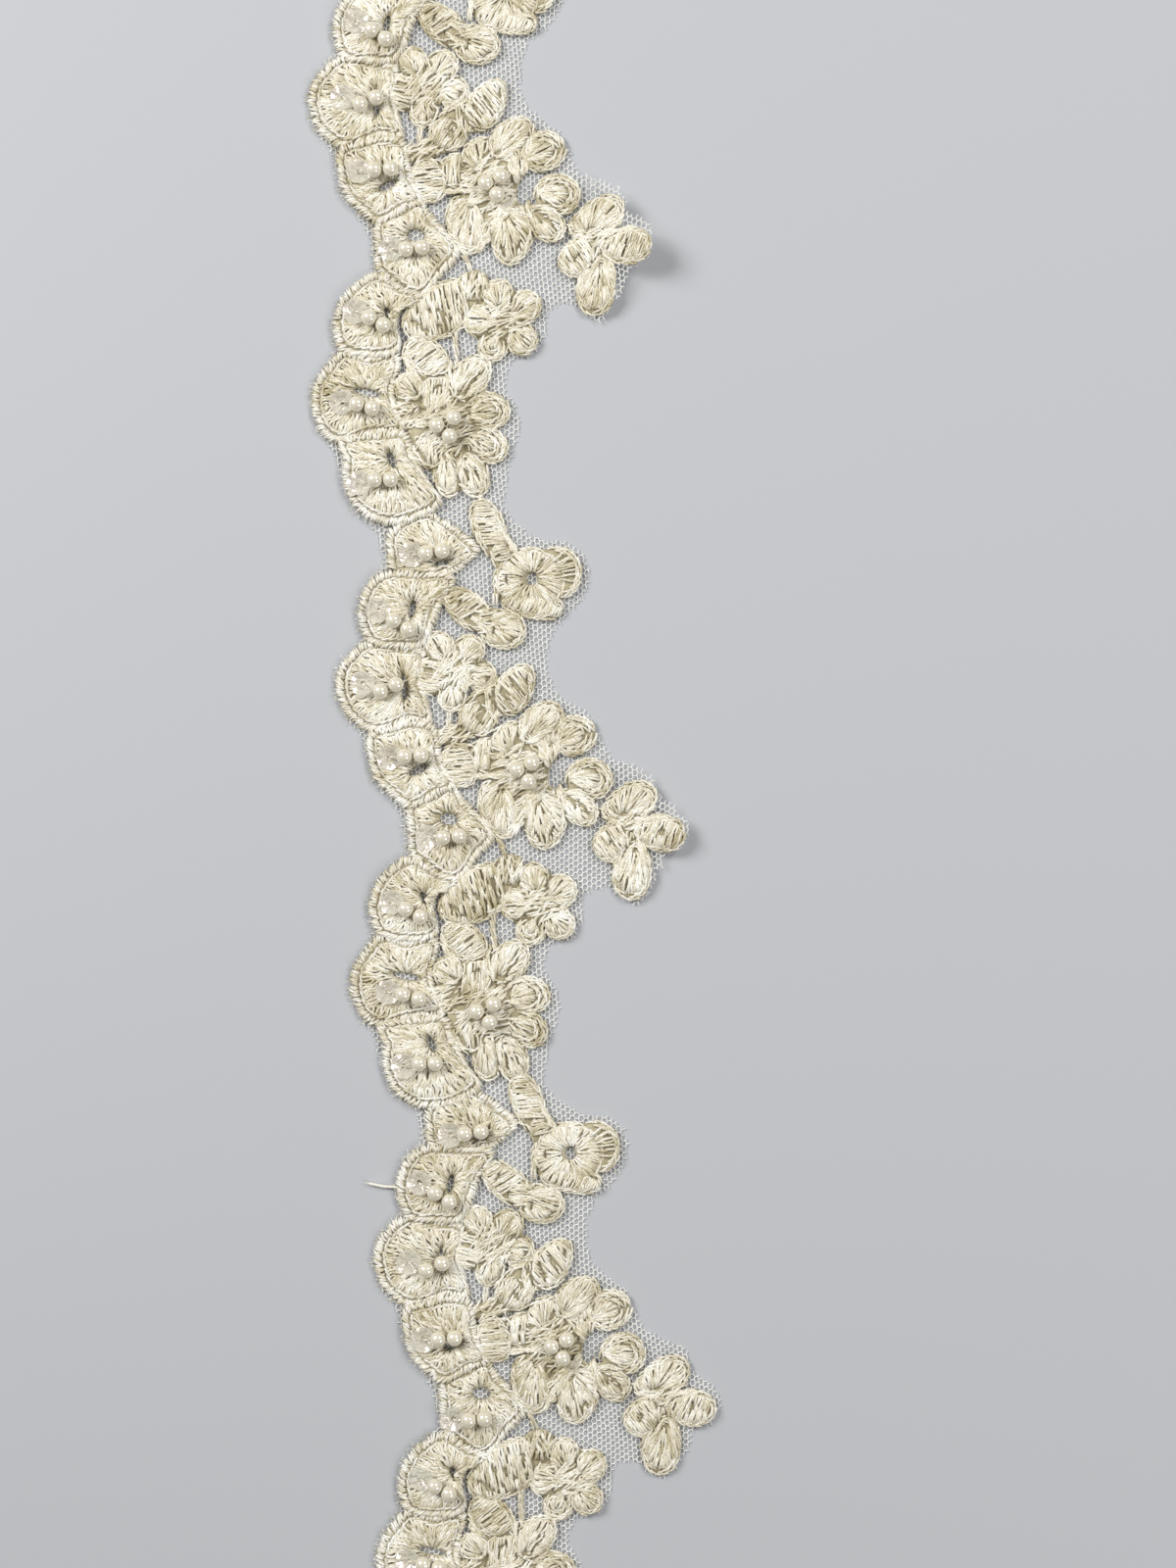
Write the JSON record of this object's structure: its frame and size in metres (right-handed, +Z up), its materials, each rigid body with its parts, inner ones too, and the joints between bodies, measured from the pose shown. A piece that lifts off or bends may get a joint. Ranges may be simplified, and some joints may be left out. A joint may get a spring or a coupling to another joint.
{
  "type": "beaded sequin trim",
  "caption": "Cut length of embroidered net lace trim with a corded scalloped border, flowers, leaves, pearls and cup sequins.",
  "frame": {"origin": "under the middle of the trim, on the surface it lies on", "axes": "+Y along the trim, +X from the scalloped border towards the leaf sprigs, +Z up, away from the surface"},
  "size_m": [0.056, 0.2762, 0.0073],
  "materials": {
    "net": "sheer off-white tulle",
    "thread": "lustrous ivory embroidery thread",
    "pearl": "pearl-coated cream plastic",
    "sequin": "clear yellowish plastic with a lilac glint"
  },
  "bodies": {
    "root": {"bead_row_1a": "pearl", "bead_row_1b": "pearl", "bead_row_1c": "pearl", "bead_row_1d": "pearl", "bead_row_1e": "pearl", "bead_row_1f": "pearl", "bead_row_1g": "pearl", "bead_row_1h": "pearl", "bead_row_2a": "pearl", "bead_row_2b": "pearl", "bead_row_2c": "pearl", "bead_row_2d": "pearl", "bead_row_2e": "pearl", "bead_row_2f": "pearl", "bead_row_2g": "pearl", "bead_row_2h": "pearl", "bead_row_3a": "pearl", "bead_row_3b": "pearl", "bead_row_3c": "pearl", "bead_row_3d": "pearl", "bead_row_3e": "pearl", "bead_row_3f": "pearl", "bead_row_3g": "pearl", "bead_row_3h": "pearl", "floret_lower_1": "thread", "floret_lower_2": "thread", "floret_lower_3": "thread", "floret_upper_1": "thread", "floret_upper_2": "thread", "floret_upper_3": "thread", "flower_lower_1": "thread", "flower_lower_2": "thread", "flower_lower_3": "thread", "flower_upper_1": "thread", "flower_upper_2": "thread", "flower_upper_3": "thread", "leaf_lower_1": "thread", "leaf_lower_2": "thread", "leaf_lower_3": "thread", "leaf_upper_1": "thread", "leaf_upper_2": "thread", "leaf_upper_3": "thread", "net_ground": "net", "pearl_trio_flower_lower_1": "pearl", "pearl_trio_flower_lower_2": "pearl", "pearl_trio_flower_lower_3": "pearl", "pearl_trio_flower_upper_1": "pearl", "pearl_trio_flower_upper_2": "pearl", "pearl_trio_flower_upper_3": "pearl", "rosette_1": "thread", "rosette_2": "thread", "rosette_3": "thread", "scallop_border": "thread", "sprig_1": "thread", "sprig_2": "thread", "sprig_3": "thread", "twin_leaves_1": "thread", "twin_leaves_2": "thread", "twin_leaves_3": "thread"}
  },
  "joints": []
}
